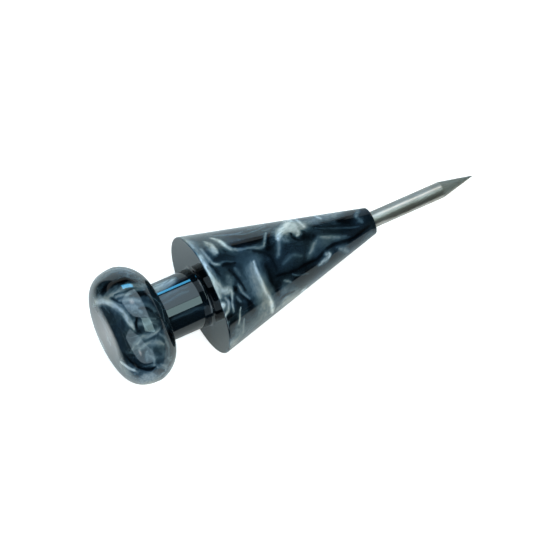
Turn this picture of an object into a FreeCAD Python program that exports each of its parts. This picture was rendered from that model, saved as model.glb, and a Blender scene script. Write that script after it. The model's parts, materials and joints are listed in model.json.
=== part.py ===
"""Push-pin shaped hand awl: a turned, polished resin handle on a glued-in steel pin.

Millimetres. Each piece is turned about the awl's own axis, which runs from the knob to the tip.
Stations along that axis are measured from the flat back face of the cone, positive towards the tip.
The finished awl is then laid down as it rests on a bench: on the rim of the cone's back face and on
the point of the pin, with the knob clear of the bench. In that final frame +X runs from the knob to
the tip, +Z is up, the bench is Z = 0 and the awl is symmetric about Y = 0.
"""
import FreeCAD, Part
import math
import os

# Cone of the handle
CONE_LENGTH = 54.5
CONE_BACK_RADIUS = 17.8
CONE_NOSE_RADIUS = 4.0
CONE_EDGE_RADIUS = 0.4

# Neck of the handle, with a small cove where it meets the cone, and its two hidden tenons
NECK_LENGTH = 13.9
NECK_RADIUS = 8.55
NECK_COVE_RADIUS = 0.8
TENON_RADIUS = 6.0
TENON_CHAMFER = 0.6
KNOB_TENON_LENGTH = 8.0
CONE_TENON_LENGTH = 12.0

# Knob of the handle: an end face and a shoulder, each flat in the middle and rounded out to the rim.
# Fullness is the length of the round's handles: 0.55 gives an ellipse, and more gives a squarer round.
KNOB_LENGTH = 15.6
KNOB_RADIUS = 17.2
KNOB_WIDEST_FROM_END = 8.9
KNOB_END_FLAT_RADIUS = 6.2
KNOB_END_FULLNESS = 0.72
KNOB_SHOULDER_FLAT_RADIUS = 11.6
KNOB_SHOULDER_FULLNESS = 0.42

# Steel pin, ground from round bar: a shank, a conical point and a thinner, grooved tang in the cone
PIN_RADIUS = 2.38
PIN_SHANK_LENGTH = 22.7
PIN_POINT_LENGTH = 10.3
PIN_TIP_RADIUS = 0.15
TANG_RADIUS = 2.0
TANG_LENGTH = 25.0
TANG_CHAMFER = 0.5
TANG_GROOVE_COUNT = 4
TANG_GROOVE_WIDTH = 1.0
TANG_GROOVE_DEPTH = 0.25

# Glue: the room left for it at the bottom of each hole and round each tenon and the tang
GLUE_BOTTOM = 0.5
GLUE_WALL = 0.1

PARTS_FOLDER = "parts"
AXIS_POINT = FreeCAD.Vector(0, 0, 0)
AWL_AXIS = FreeCAD.Vector(1, 0, 0)
SIDE_AXIS = FreeCAD.Vector(0, 1, 0)
FULL_TURN = 360

# Stations that the dimensions above lead to
CONE_BACK = 0.0
CONE_NOSE = CONE_LENGTH
SHANK_END = CONE_NOSE + PIN_SHANK_LENGTH
TIP = SHANK_END + PIN_POINT_LENGTH
TANG_END = CONE_NOSE - TANG_LENGTH
CONE_TENON_END = CONE_BACK + CONE_TENON_LENGTH
KNOB_SHOULDER = CONE_BACK - NECK_LENGTH
KNOB_TENON_END = KNOB_SHOULDER - KNOB_TENON_LENGTH
KNOB_END = KNOB_SHOULDER - KNOB_LENGTH
KNOB_WIDEST = KNOB_END + KNOB_WIDEST_FROM_END


def at(station, radius):
    """A point of a turned outline."""
    return FreeCAD.Vector(station, 0, radius)


def full_round(start, corner, end, fullness):
    """A smooth round that leaves start and reaches end along the lines through corner."""
    curve = Part.BezierCurve()
    start_handle = start + (corner - start) * fullness
    end_handle = end + (corner - end) * fullness
    curve.setPoles([start, start_handle, end_handle, end])
    return curve.toShape()


def arc_round(before, corner, after, radius):
    """A circular arc that rounds the corner between the lines to before and to after."""
    to_before = (before - corner).normalize()
    to_after = (after - corner).normalize()
    half_angle = to_before.getAngle(to_after) / 2
    reach = radius / math.tan(half_angle)
    to_centre = (to_before + to_after).normalize()
    nearest = corner + to_centre * (radius / math.sin(half_angle) - radius)
    return Part.Arc(corner + to_before * reach, nearest, corner + to_after * reach).toShape()


def turned(outline):
    """The solid that an outline sweeps in a full turn about the awl's axis. The outline lists points
    and round edges in order. Straight lines join those that don't already meet."""
    starts = []
    stops = []
    for item in outline:
        is_edge = isinstance(item, Part.Shape)
        starts.append(item.valueAt(item.FirstParameter) if is_edge else item)
        stops.append(item.valueAt(item.LastParameter) if is_edge else item)
    edges = []
    for item, stop, next_start in zip(outline, stops, starts[1:] + starts[:1]):
        if isinstance(item, Part.Shape):
            edges.append(item)
        if not stop.isEqual(next_start, 0):
            edges.append(Part.LineSegment(stop, next_start).toShape())
    face = Part.Face(Part.Wire(edges))
    return face.revolve(AXIS_POINT, AWL_AXIS, FULL_TURN)


def plug(start, stop, radius):
    """A plain cylinder on the axis, as a drill would leave a hole."""
    return turned([at(start, 0), at(start, radius), at(stop, radius), at(stop, 0)])


def knob_socket():
    return plug(KNOB_TENON_END - GLUE_BOTTOM, KNOB_SHOULDER, TENON_RADIUS + GLUE_WALL)


def cone_socket():
    return plug(CONE_BACK, CONE_TENON_END + GLUE_BOTTOM, TENON_RADIUS + GLUE_WALL)


def pin_hole():
    return plug(TANG_END - GLUE_BOTTOM, CONE_NOSE, TANG_RADIUS + GLUE_WALL)


def knob():
    """The round knob, with a blind socket for the neck's short tenon."""
    end_round = full_round(
        at(KNOB_END, KNOB_END_FLAT_RADIUS),
        at(KNOB_END, KNOB_RADIUS),
        at(KNOB_WIDEST, KNOB_RADIUS),
        KNOB_END_FULLNESS,
    )
    shoulder_round = full_round(
        at(KNOB_WIDEST, KNOB_RADIUS),
        at(KNOB_SHOULDER, KNOB_RADIUS),
        at(KNOB_SHOULDER, KNOB_SHOULDER_FLAT_RADIUS),
        KNOB_SHOULDER_FULLNESS,
    )
    blank = turned([at(KNOB_END, 0), end_round, shoulder_round, at(KNOB_SHOULDER, 0)])
    return blank.cut(knob_socket())


def neck():
    """The neck with a tenon at each end. A small cove spreads it where it meets the cone."""
    cove = arc_round(
        at(KNOB_SHOULDER, NECK_RADIUS),
        at(CONE_BACK, NECK_RADIUS),
        at(CONE_BACK, CONE_BACK_RADIUS),
        NECK_COVE_RADIUS,
    )
    return turned([
        at(KNOB_TENON_END, 0),
        at(KNOB_TENON_END, TENON_RADIUS - TENON_CHAMFER),
        at(KNOB_TENON_END + TENON_CHAMFER, TENON_RADIUS),
        at(KNOB_SHOULDER, TENON_RADIUS),
        at(KNOB_SHOULDER, NECK_RADIUS),
        cove,
        at(CONE_BACK, TENON_RADIUS),
        at(CONE_TENON_END - TENON_CHAMFER, TENON_RADIUS),
        at(CONE_TENON_END, TENON_RADIUS - TENON_CHAMFER),
        at(CONE_TENON_END, 0),
    ])


def cone_body():
    """The straight-sided cone, with a socket for the neck's long tenon and a hole for the tang."""
    back_centre = at(CONE_BACK, 0)
    back_rim = at(CONE_BACK, CONE_BACK_RADIUS)
    nose_rim = at(CONE_NOSE, CONE_NOSE_RADIUS)
    nose_centre = at(CONE_NOSE, 0)
    blank = turned([
        back_centre,
        arc_round(back_centre, back_rim, nose_rim, CONE_EDGE_RADIUS),
        arc_round(back_rim, nose_rim, nose_centre, CONE_EDGE_RADIUS),
        nose_centre,
    ])
    return blank.cut(cone_socket()).cut(pin_hole())


def tang_outline():
    """The tang from its hidden end to the nose, with evenly spaced grooves that key the glue."""
    points = [
        at(TANG_END, 0),
        at(TANG_END, TANG_RADIUS - TANG_CHAMFER),
        at(TANG_END + TANG_CHAMFER, TANG_RADIUS),
    ]
    pitch = TANG_LENGTH / (TANG_GROOVE_COUNT + 1)
    for number in range(TANG_GROOVE_COUNT):
        middle = TANG_END + pitch * (number + 1)
        start = middle - TANG_GROOVE_WIDTH / 2
        stop = middle + TANG_GROOVE_WIDTH / 2
        points.append(at(start, TANG_RADIUS))
        points.append(at(start, TANG_RADIUS - TANG_GROOVE_DEPTH))
        points.append(at(stop, TANG_RADIUS - TANG_GROOVE_DEPTH))
        points.append(at(stop, TANG_RADIUS))
    points.append(at(CONE_NOSE, TANG_RADIUS))
    return points


def steel_pin():
    """The pin: tang, shank and a conical point whose very end is rounded."""
    tip_round = arc_round(
        at(TIP - PIN_TIP_RADIUS, PIN_TIP_RADIUS),
        at(TIP, PIN_TIP_RADIUS),
        at(TIP, 0),
        PIN_TIP_RADIUS,
    )
    return turned(tang_outline() + [
        at(CONE_NOSE, PIN_RADIUS),
        at(SHANK_END, PIN_RADIUS),
        tip_round,
    ])


def glue(hole, piece):
    """What fills a hole round the piece that is glued into it."""
    return hole.cut(piece)


def rest_turn():
    """How far the awl turns about the side axis, in degrees, to lie on the cone's rim and the tip.

    Both are rounded, so the bench touches a ball at the tip and the rounded rim of the cone, as a
    line that is tangent to two circles."""
    side = at(CONE_NOSE, CONE_NOSE_RADIUS) - at(CONE_BACK, CONE_BACK_RADIUS)
    half_corner = side.getAngle(at(0, -1)) / 2
    rim_inset = CONE_EDGE_RADIUS / math.tan(half_corner)
    rim_centre = at(CONE_BACK + CONE_EDGE_RADIUS, CONE_BACK_RADIUS - rim_inset)
    tip_centre = at(TIP - PIN_TIP_RADIUS, 0)
    span = tip_centre - rim_centre
    slope = math.atan2(-span.z, span.x)
    radius_step = math.asin((CONE_EDGE_RADIUS - PIN_TIP_RADIUS) / span.Length)
    return math.degrees(slope + radius_step)


def laid_down(pieces):
    """Turns every piece by the rest angle and puts the origin under the middle of the awl's box."""
    for shape in pieces.values():
        shape.rotate(AXIS_POINT, SIDE_AXIS, rest_turn())
    box = Part.makeCompound(list(pieces.values())).optimalBoundingBox(False, False)
    shift = FreeCAD.Vector(-box.Center.x, 0, -box.ZMin)
    for shape in pieces.values():
        shape.translate(shift)
    return shift


def main():
    the_neck = neck()
    the_pin = steel_pin()
    pieces = {
        "knob": knob(),
        "neck": the_neck,
        "cone_body": cone_body(),
        "steel_pin": the_pin,
        "knob_epoxy": glue(knob_socket(), the_neck),
        "cone_epoxy": glue(cone_socket(), the_neck),
        "pin_epoxy": glue(pin_hole(), the_pin),
    }
    shift = laid_down(pieces)
    os.makedirs(PARTS_FOLDER, exist_ok=True)
    for name, shape in pieces.items():
        shape.exportStep(f"{PARTS_FOLDER}/{name}.step")
        print(name, "volume", round(shape.Volume, 2), "solids", len(shape.Solids), "valid", shape.isValid())
    print("rest turn", rest_turn(), "shift", shift)


main()
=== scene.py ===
"""A push-pin shaped hand awl with a marbled resin handle, lying on a pale studio floor.

The visible pieces are turned in mesh code at the CAD model's sizes, so that their marbling and their
reflections are fine enough. The awl's lengths are in millimetres until a mesh is made, in metres, and
the studio's are in metres. Stations run along the awl's axis from the cone's back face, positive towards
the tip. Angles run round the axis in degrees, 0 on top of the lying awl and positive towards +Y.
"""
import json
import math

import bpy
import numpy as np
from mathutils import Matrix, Vector


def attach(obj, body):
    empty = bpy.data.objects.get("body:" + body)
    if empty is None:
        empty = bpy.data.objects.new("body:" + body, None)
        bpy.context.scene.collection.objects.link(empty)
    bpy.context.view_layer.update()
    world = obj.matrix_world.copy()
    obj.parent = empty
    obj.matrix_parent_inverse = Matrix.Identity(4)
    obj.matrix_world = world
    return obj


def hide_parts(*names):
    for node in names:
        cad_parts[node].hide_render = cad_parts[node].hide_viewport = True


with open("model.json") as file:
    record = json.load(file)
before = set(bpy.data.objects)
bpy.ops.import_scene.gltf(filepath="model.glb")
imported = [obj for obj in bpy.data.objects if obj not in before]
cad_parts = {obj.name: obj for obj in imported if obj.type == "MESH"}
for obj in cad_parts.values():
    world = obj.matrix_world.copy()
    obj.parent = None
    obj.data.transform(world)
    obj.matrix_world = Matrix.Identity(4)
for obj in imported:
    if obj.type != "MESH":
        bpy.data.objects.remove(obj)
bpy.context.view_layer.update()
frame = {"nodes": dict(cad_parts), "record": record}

MM = 0.001

# The awl's sizes, as in the CAD model
CONE_LENGTH = 54.5
CONE_BACK_RADIUS = 17.8
CONE_NOSE_RADIUS = 4.0
CONE_EDGE_RADIUS = 0.4
NECK_LENGTH = 13.9
NECK_RADIUS = 8.55
NECK_COVE_RADIUS = 0.8
TENON_RADIUS = 6.0
TENON_CHAMFER = 0.6
KNOB_TENON_LENGTH = 8.0
CONE_TENON_LENGTH = 12.0
KNOB_LENGTH = 15.6
KNOB_RADIUS = 17.2
KNOB_WIDEST_FROM_END = 8.9
KNOB_END_FLAT_RADIUS = 6.2
KNOB_END_FULLNESS = 0.72
KNOB_SHOULDER_FLAT_RADIUS = 11.6
KNOB_SHOULDER_FULLNESS = 0.42
PIN_RADIUS = 2.38
PIN_SHANK_LENGTH = 22.7
PIN_POINT_LENGTH = 10.3
PIN_TIP_RADIUS = 0.15
TANG_RADIUS = 2.0
TANG_LENGTH = 25.0
TANG_CHAMFER = 0.5
TANG_GROOVE_COUNT = 4
TANG_GROOVE_WIDTH = 1.0
TANG_GROOVE_DEPTH = 0.25
GLUE_BOTTOM = 0.5
GLUE_WALL = 0.1

# Stations
CONE_NOSE = CONE_LENGTH
SHANK_END = CONE_NOSE + PIN_SHANK_LENGTH
TIP = SHANK_END + PIN_POINT_LENGTH
KNOB_SHOULDER = -NECK_LENGTH
KNOB_END = KNOB_SHOULDER - KNOB_LENGTH
KNOB_WIDEST = KNOB_END + KNOB_WIDEST_FROM_END

# How finely pieces are turned
SEGMENTS = 448
PIN_SEGMENTS = 160
FINE_STEP = 0.25
CONE_STEP = 0.34
FACE_STEP = 0.5
SHOULDER_STEP = 1.0
ROUND_STEPS = 40
ARC_STEPS = 10
SHARP_ANGLE = math.radians(25)


# ---- Placing: the awl's own axis in the frame, read from the record's mounts ----

mounts = {mount["name"]: mount for mount in frame["record"]["mounts"]}
awl_axis = Vector(mounts["pin_shank"]["axis"]).normalized()
side_axis = Vector((0, 1, 0))
up_axis = awl_axis.cross(side_axis)
cone_back_middle = Vector(mounts["knob_end"]["pos_m"]) - awl_axis * KNOB_END * MM


def in_frame(station, across, above):
    """The frame position in metres of a place given in the awl's own millimetres."""
    return cone_back_middle + (awl_axis * station + side_axis * across + up_axis * above) * MM


# ---- Outlines ----

def full_round(start, corner, end, fullness):
    """Points of a smooth round from start to end, tangent to the lines through corner."""
    start, corner, end = (np.array(p, float) for p in (start, corner, end))
    start_handle = start + (corner - start) * fullness
    end_handle = end + (corner - end) * fullness
    points = []
    for t in np.linspace(0, 1, ROUND_STEPS + 1):
        s = 1 - t
        point = s**3 * start + 3 * s * s * t * start_handle + 3 * s * t * t * end_handle + t**3 * end
        points.append(tuple(point))
    return points


def arc_round(before, corner, after, radius):
    """Points of a circular arc that rounds the corner between the lines to before and to after."""
    before, corner, after = (np.array(p, float) for p in (before, corner, after))
    to_before = (before - corner) / np.linalg.norm(before - corner)
    to_after = (after - corner) / np.linalg.norm(after - corner)
    half = math.acos(float(np.clip(to_before @ to_after, -1, 1))) / 2
    middle = to_before + to_after
    centre = corner + middle / np.linalg.norm(middle) * radius / math.sin(half)
    start = corner + to_before * radius / math.tan(half) - centre
    end = corner + to_after * radius / math.tan(half) - centre
    turn = math.pi - 2 * half
    points = []
    for t in np.linspace(0, 1, ARC_STEPS + 1):
        share = (math.sin((1 - t) * turn) * start + math.sin(t * turn) * end) / math.sin(turn)
        points.append(tuple(centre + share))
    return points


def finely(points, step=FINE_STEP):
    """The same outline with no stretch longer than step."""
    out = [points[0]]
    for (s0, r0), (s1, r1) in zip(points, points[1:]):
        count = max(1, math.ceil(math.hypot(s1 - s0, r1 - r0) / step))
        for n in range(1, count + 1):
            out.append((s0 + (s1 - s0) * n / count, r0 + (r1 - r0) * n / count))
    return out


# ---- Turning an outline into a mesh ----

def new_object(name, data):
    made = bpy.data.objects.new(name, data)
    bpy.context.scene.collection.objects.link(made)
    return made


def turned_mesh(name, outline, segments=SEGMENTS):
    """A closed turned piece. The outline starts and ends on the axis. Corners stay crisp."""
    ring_points = outline[1:-1]
    angles = np.linspace(0, 2 * math.pi, segments, endpoint=False)
    across = np.sin(angles)
    above = np.cos(angles)
    stations = np.array([p[0] for p in ring_points])
    radii = np.array([p[1] for p in ring_points])
    local = np.zeros((len(ring_points) * segments + 2, 3))
    local[:-2, 0] = np.repeat(stations, segments)
    local[:-2, 1] = np.outer(radii, across).ravel()
    local[:-2, 2] = np.outer(radii, above).ravel()
    local[-2] = (outline[0][0], 0, 0)
    local[-1] = (outline[-1][0], 0, 0)
    axes = np.array([awl_axis, side_axis, up_axis])
    places = np.array(cone_back_middle) + local @ axes * MM

    first, last = len(local) - 2, len(local) - 1
    faces = []
    for n in range(segments):
        after = (n + 1) % segments
        faces.append((first, n, after))
    for ring in range(len(ring_points) - 1):
        a = ring * segments
        b = a + segments
        for n in range(segments):
            after = (n + 1) % segments
            faces.append((a + n, b + n, b + after, a + after))
    end = (len(ring_points) - 1) * segments
    for n in range(segments):
        after = (n + 1) % segments
        faces.append((last, end + after, end + n))

    mesh = bpy.data.meshes.new(name)
    mesh.from_pydata(places.tolist(), [], faces)
    mesh.validate()
    mesh.polygons.foreach_set("use_smooth", [True] * len(mesh.polygons))
    mark_sharp(mesh, outline, segments)
    return new_object(name, mesh), local


def mark_sharp(mesh, outline, segments):
    """Marks the rings where the outline turns sharply, so that they shade as crisp edges."""
    sharp_rings = set()
    for n in range(1, len(outline) - 1):
        before = Vector(outline[n]) - Vector(outline[n - 1])
        after = Vector(outline[n + 1]) - Vector(outline[n])
        if before.angle(after, 0) > SHARP_ANGLE:
            sharp_rings.add(n - 1)
    pairs = np.zeros(len(mesh.edges) * 2, int)
    mesh.edges.foreach_get("vertices", pairs)
    rings = pairs.reshape(-1, 2) // segments
    sharp = (rings[:, 0] == rings[:, 1]) & np.isin(rings[:, 0], list(sharp_rings))
    layer = mesh.attributes.new("sharp_edge", "BOOLEAN", "EDGE")
    layer.data.foreach_set("value", sharp)


# ---- Noise on arrays of points, the same on every run ----

LATTICE_SIZE = 256
LATTICE = np.random.default_rng(11).permutation(LATTICE_SIZE)
GRADIENTS = np.random.default_rng(12).normal(size=(LATTICE_SIZE, 3))
GRADIENTS /= np.linalg.norm(GRADIENTS, axis=1)[:, None]
SEED_STRIDE = 17.3
NOISE_GAIN = 1.6


def noise(points, seed=0):
    """Gradient noise, roughly -1 to 1, at an array of 3-D points in units of its own grain."""
    points = np.asarray(points, float) + SEED_STRIDE * seed
    cell = np.floor(points).astype(int)
    local = points - cell
    ease = local**3 * (local * (local * 6 - 15) + 10)
    total = np.zeros(len(points))
    for dx in (0, 1):
        for dy in (0, 1):
            for dz in (0, 1):
                corner = cell + (dx, dy, dz)
                hashed = LATTICE[corner[:, 0] % LATTICE_SIZE]
                hashed = LATTICE[(hashed + corner[:, 1]) % LATTICE_SIZE]
                hashed = LATTICE[(hashed + corner[:, 2]) % LATTICE_SIZE]
                value = ((local - (dx, dy, dz)) * GRADIENTS[hashed]).sum(1)
                for axis, d in enumerate((dx, dy, dz)):
                    value = value * (ease[:, axis] if d else 1 - ease[:, axis])
                total += value
    return total * NOISE_GAIN


def layered_noise(points, layers, seed=0):
    """Several layers of noise, each twice as fine and half as strong as the one before."""
    total = np.zeros(len(points))
    strength = 1.0
    for layer in range(layers):
        total += strength * noise(points * 2**layer, seed + layer)
        strength *= 0.5
    return total


# ---- Marbling: how light the pearl in the resin is, from 0 to 1, painted stroke by stroke ----

# The marbling's own angle 0, as the awl lies: a little to the -Y side of its top
PATTERN_TURN = -9.6

# Strokes are placed this many degrees round to either side of angle 0, and fade into the wild marbling
PLACED_HALF_ANGLE = 95
PLACED_FADE = 35

# Every stroke's reach is widened by this much
STROKE_SPREAD = 1.12

# A stroke has a haze round it: how light and how strong next to the stroke, and how much wider
HAZE_LIGHTNESS = 0.62
HAZE_STRENGTH = 0.40
HAZE_SPREAD = 2.3

# Strokes are bent out of line by a slow wobble and a quick ripple, both in millimetres
WOBBLE = 0.40
WOBBLE_GRAIN = 7.0
RIPPLE = 0.07
RIPPLE_GRAIN = 1.8

# The sizes of the other patterns, in millimetres, and how wide a wild vein is, in its own units
FOLD_GRAIN = 17
QUIET_GRAIN = 6
MOTTLE_GRAIN = 2.4
VEIN_WIDTH = 0.12

# A stroke's path in steps of this many millimetres, where a degree counts as so many
PATH_STEP = 0.2
DEGREE_LENGTH = 0.2


def smooth_path(points):
    """Close points on a smooth curve through a stroke's listed points."""
    points = np.array(points, float)
    if len(points) == 1:
        return points, np.zeros(1)
    padded = np.vstack([2 * points[0] - points[1], points, 2 * points[-1] - points[-2]])
    out = []
    for n in range(1, len(padded) - 2):
        p0, p1, p2, p3 = padded[n - 1:n + 3]
        count = max(2, math.ceil(np.linalg.norm((p2 - p1) * (1, DEGREE_LENGTH)) / PATH_STEP))
        t = np.linspace(0, 1, count, endpoint=False)[:, None]
        out.append(0.5 * (2 * p1 + (p2 - p0) * t + (2 * p0 - 5 * p1 + 4 * p2 - p3) * t**2
                          + (3 * p1 - p0 - 3 * p2 + p3) * t**3))
    path = np.vstack(out + [points[-1:]])
    return path, np.linspace(0, 1, len(path))


def paint(pearl, along, angle, radius, stroke, seed):
    """Paints one stroke over the pearl. A stroke is its lightness, its strength, its reach in
    millimetres to both sides of its path or to the left and to the right, and the path's (distance,
    angle) points."""
    lightness, strength, reaches, points = stroke
    reach_left, reach_right = np.broadcast_to(reaches, 2)
    path, share = smooth_path(points)
    reach = np.max(reaches) * 2 * HAZE_SPREAD
    spread = np.degrees(reach / np.maximum(radius, 1.0))
    near = (along > path[:, 0].min() - reach) & (along < path[:, 0].max() + reach)
    near &= (angle > path[:, 1].min() - spread) & (angle < path[:, 1].max() + spread)
    picked = np.flatnonzero(near)
    if len(picked) == 0:
        return
    r = radius[picked]
    best = np.full(len(picked), np.inf)
    side = np.zeros(len(picked))
    place = np.zeros(len(picked))
    heading = np.gradient(path, axis=0) if len(path) > 1 else np.array([[1.0, 0.0]])
    for (path_along, path_angle), (heading_along, heading_angle), part in zip(path, heading, share):
        off_along = along[picked] - path_along
        off_round = np.radians(angle[picked] - path_angle) * r
        squared = off_along**2 + off_round**2
        closer = squared < best
        best[closer] = squared[closer]
        turned_left = heading_angle * off_along * np.radians(1) * r - heading_along * off_round
        side[closer] = turned_left[closer]
        place[closer] = part
    distance = np.sqrt(best)
    width = np.where(side < 0, reach_left, reach_right) * STROKE_SPREAD
    if len(path) > 1:
        width = width * (0.5 + 0.5 * np.sin(np.pi * np.clip(place, 0.02, 0.98)) ** 0.5)
    signed = np.where(side < 0, -distance, distance)
    flow = np.stack([place * 5, signed / 0.6, np.full(len(picked), seed * 1.7)], 1)
    silk = 0.7 * noise(flow, 3) + 0.5 * noise(flow * (1.6, 2.4, 1), 4)
    haze = HAZE_STRENGTH * strength * np.exp(-(distance / width / HAZE_SPREAD) ** 1.6)
    haze = np.clip(haze * np.clip(0.7 + silk, 0, 1.5), 0, 1)
    pearl[picked] += np.maximum(lightness * HAZE_LIGHTNESS - pearl[picked], 0) * haze
    mask = strength * np.exp(-(distance / width) ** 2.1) * np.clip(1.0 + 0.6 * silk, 0, 1.2)
    pearl[picked] += (lightness - pearl[picked]) * np.clip(mask, 0, 1)


def wild_marbling(places, seed):
    """Folded veins of pearl with no strokes, for the sides that have none listed."""
    coarse = places * (0.7, 1, 1) / FOLD_GRAIN
    fold = np.stack([layered_noise(coarse, 3, seed + n * 7) for n in range(3)], 1)
    folded = coarse + 0.9 * fold
    again = np.stack([layered_noise(folded * 1.3, 2, seed + 40 + n * 7) for n in range(3)], 1)
    field = layered_noise(folded * (0.7, 1, 1) + 0.8 * again, 3, seed + 80)
    vein = np.exp(-(field / VEIN_WIDTH) ** 2)
    glow = np.clip(0.5 + 1.1 * layered_noise(folded * 1.1, 2, seed + 120), 0, 1) ** 2
    return 0.06 + 0.56 * vein * glow + 0.34 * glow * np.clip(0.4 + again[:, 0], 0, 1)


def marble(local, along, strokes, seed, mottle):
    """The pearl at each vertex of a turned piece. along is the distance that its strokes use, and
    mottle is how much of the wild marbling shows between them."""
    radius = np.hypot(local[:, 1], local[:, 2])
    angle = np.degrees(np.arctan2(local[:, 1], local[:, 2])) - PATTERN_TURN
    angle = (angle + 180) % 360 - 180
    wobble = np.stack([layered_noise(local / WOBBLE_GRAIN, 2, seed + n) for n in (1, 2)], 1)
    ripple = np.stack([layered_noise(local / RIPPLE_GRAIN, 1, seed + n) for n in (3, 4)], 1)
    bend = WOBBLE * wobble + RIPPLE * ripple
    moved = along + bend[:, 0]
    turned = angle + np.degrees(bend[:, 1] / np.maximum(radius, 2.0))
    wild = wild_marbling(local, seed + 30)
    front = np.clip((PLACED_HALF_ANGLE - np.abs(angle)) / PLACED_FADE, 0, 1)
    front = front * front * (3 - 2 * front)
    grained = local * (0.4, 1, 1) / MOTTLE_GRAIN + 0.8 * wobble[:, :1]
    fine = np.clip(layered_noise(grained, 3, seed + 9), 0, 1)
    quiet = 0.05 + 0.04 * layered_noise(local * (0.35, 1, 1) / QUIET_GRAIN, 3, seed + 5)
    quiet += mottle * (wild + fine)
    pearl = wild + (quiet - wild) * front
    for number, stroke in enumerate(strokes):
        paint(pearl, moved, turned, radius, stroke, seed + number)
    return np.clip(pearl, 0, 1)


def give_pearl(piece, pearl):
    layer = piece.data.attributes.new("pearl", "FLOAT", "POINT")
    layer.data.foreach_set("value", pearl.astype(np.float32))


# ---- Materials ----

WHITE = (1.0, 1.0, 1.0)


def fill_inputs(tree, node, inputs):
    """Sets a node's inputs to constants, or links them to other nodes' outputs."""
    for name, value in inputs.items():
        if isinstance(value, bpy.types.NodeSocket):
            tree.links.new(value, node.inputs[name])
        else:
            node.inputs[name].default_value = value


def new_node(tree, kind, inputs, **settings):
    node = tree.nodes.new(kind)
    for name, value in settings.items():
        setattr(node, name, value)
    fill_inputs(tree, node, inputs)
    return node


def new_material(name):
    material = bpy.data.materials.new(name)
    material.use_nodes = True
    return material, material.node_tree, material.node_tree.nodes["Principled BSDF"]


def ramp(tree, value, stops):
    """The colour that the given (position, colour) stops have at a value."""
    node = new_node(tree, "ShaderNodeValToRGB", {"Fac": value})
    elements = node.color_ramp.elements
    while len(elements) < len(stops):
        elements.new(0.5)
    for element, (position, colour) in zip(elements, stops):
        element.position = position
        element.color = (*colour, 1)
    return node.outputs["Color"]


def mixed(tree, how, first, second):
    """Two colours multiplied or added."""
    inputs = {"Factor": 1.0, "A": first, "B": second}
    return new_node(tree, "ShaderNodeMix", inputs, data_type="RGBA", blend_type=how).outputs["Result"]


def worked_out(tree, how, first, second):
    """A value added to, multiplied by or raised to a second one."""
    return new_node(tree, "ShaderNodeMath", {0: first, 1: second}, operation=how).outputs["Value"]


def spread_to(tree, value, low, high):
    """A value from 0 to 1 turned into one from low to high."""
    inputs = {"Value": value, "To Min": low, "To Max": high}
    return new_node(tree, "ShaderNodeMapRange", inputs).outputs["Result"]


def noise_texture(tree, places, scale, detail, distortion=0.0):
    """Cloudy noise from 0 to 1. The scale is in grains per metre."""
    inputs = {"Vector": places, "Scale": scale, "Detail": detail, "Distortion": distortion}
    return new_node(tree, "ShaderNodeTexNoise", inputs).outputs["Fac"]


def object_coordinates(tree):
    return new_node(tree, "ShaderNodeTexCoord", {}).outputs["Object"]


def awl_coordinates(tree):
    """Object coordinates turned so that X runs along the awl, in metres, from the cone's back."""
    turn = Matrix((awl_axis, side_axis, up_axis)).transposed().to_euler()
    inputs = {"Vector": object_coordinates(tree), "Location": cone_back_middle, "Rotation": turn}
    return new_node(tree, "ShaderNodeMapping", inputs, vector_type="TEXTURE").outputs["Vector"]


def polished_resin(name, colour_roughness, dusty=False):
    """Clear polished acrylic over blue-black with pearl in it. The pearl attribute sets how light it is."""
    material, tree, shader = new_material(name)
    places = awl_coordinates(tree)
    colour = pearly_colour(tree, places)
    if dusty:
        colour = mixed(tree, "ADD", colour, dust(tree, places))
    fill_inputs(tree, shader, {
        "Base Color": colour,
        "Roughness": colour_roughness,
        "Specular IOR Level": 0.0,
        "Coat Weight": 1.0,
        "Coat Roughness": 0.015,
        "Coat IOR": 1.49,
    })
    return material


def pearly_colour(tree, places):
    """Pale where the pearl is strong and blue-black where it is weak, in warmer and cooler clouds."""
    attribute = new_node(tree, "ShaderNodeAttribute", {}, attribute_name="pearl")
    silk = noise_texture(tree, places, scale=900, detail=4, distortion=0.8)
    pearl = worked_out(tree, "MULTIPLY", attribute.outputs["Fac"], spread_to(tree, silk, 0.86, 1.14))
    tint = ramp(tree, pearl, [
        (0.0, (0.25, 0.60, 0.90)),
        (0.2, (0.38, 0.63, 0.76)),
        (0.45, (0.59, 0.66, 0.65)),
        (0.7, (0.68, 0.71, 0.69)),
        (1.0, (0.76, 0.77, 0.75)),
    ])
    clouds = noise_texture(tree, places, scale=110, detail=2)
    hue = ramp(tree, clouds, [(0.35, (0.90, 0.98, 1.12)), (0.5, WHITE), (0.62, (1.11, 1.0, 0.90))])
    inputs = {0: mixed(tree, "MULTIPLY", tint, hue), "Scale": worked_out(tree, "POWER", pearl, 1.7)}
    return new_node(tree, "ShaderNodeVectorMath", inputs, operation="SCALE").outputs["Vector"]


def dust(tree, places):
    """A few pale specks."""
    specks = new_node(tree, "ShaderNodeTexVoronoi", {"Vector": places, "Scale": 520})
    return ramp(tree, specks.outputs["Distance"], [
        (0.0, (0.42, 0.46, 0.48)), (0.035, (0.05, 0.06, 0.07)), (0.06, (0.0, 0.0, 0.0)),
    ])


def on_point(tree, places):
    """0 on the pin's shank and 1 on its point."""
    split = new_node(tree, "ShaderNodeSeparateXYZ", {"Vector": places})
    edge = 0.1
    inputs = {
        "Value": split.outputs["X"],
        "From Min": (SHANK_END - edge) * MM,
        "From Max": (SHANK_END + edge) * MM,
    }
    return new_node(tree, "ShaderNodeMapRange", inputs).outputs["Result"]


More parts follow.
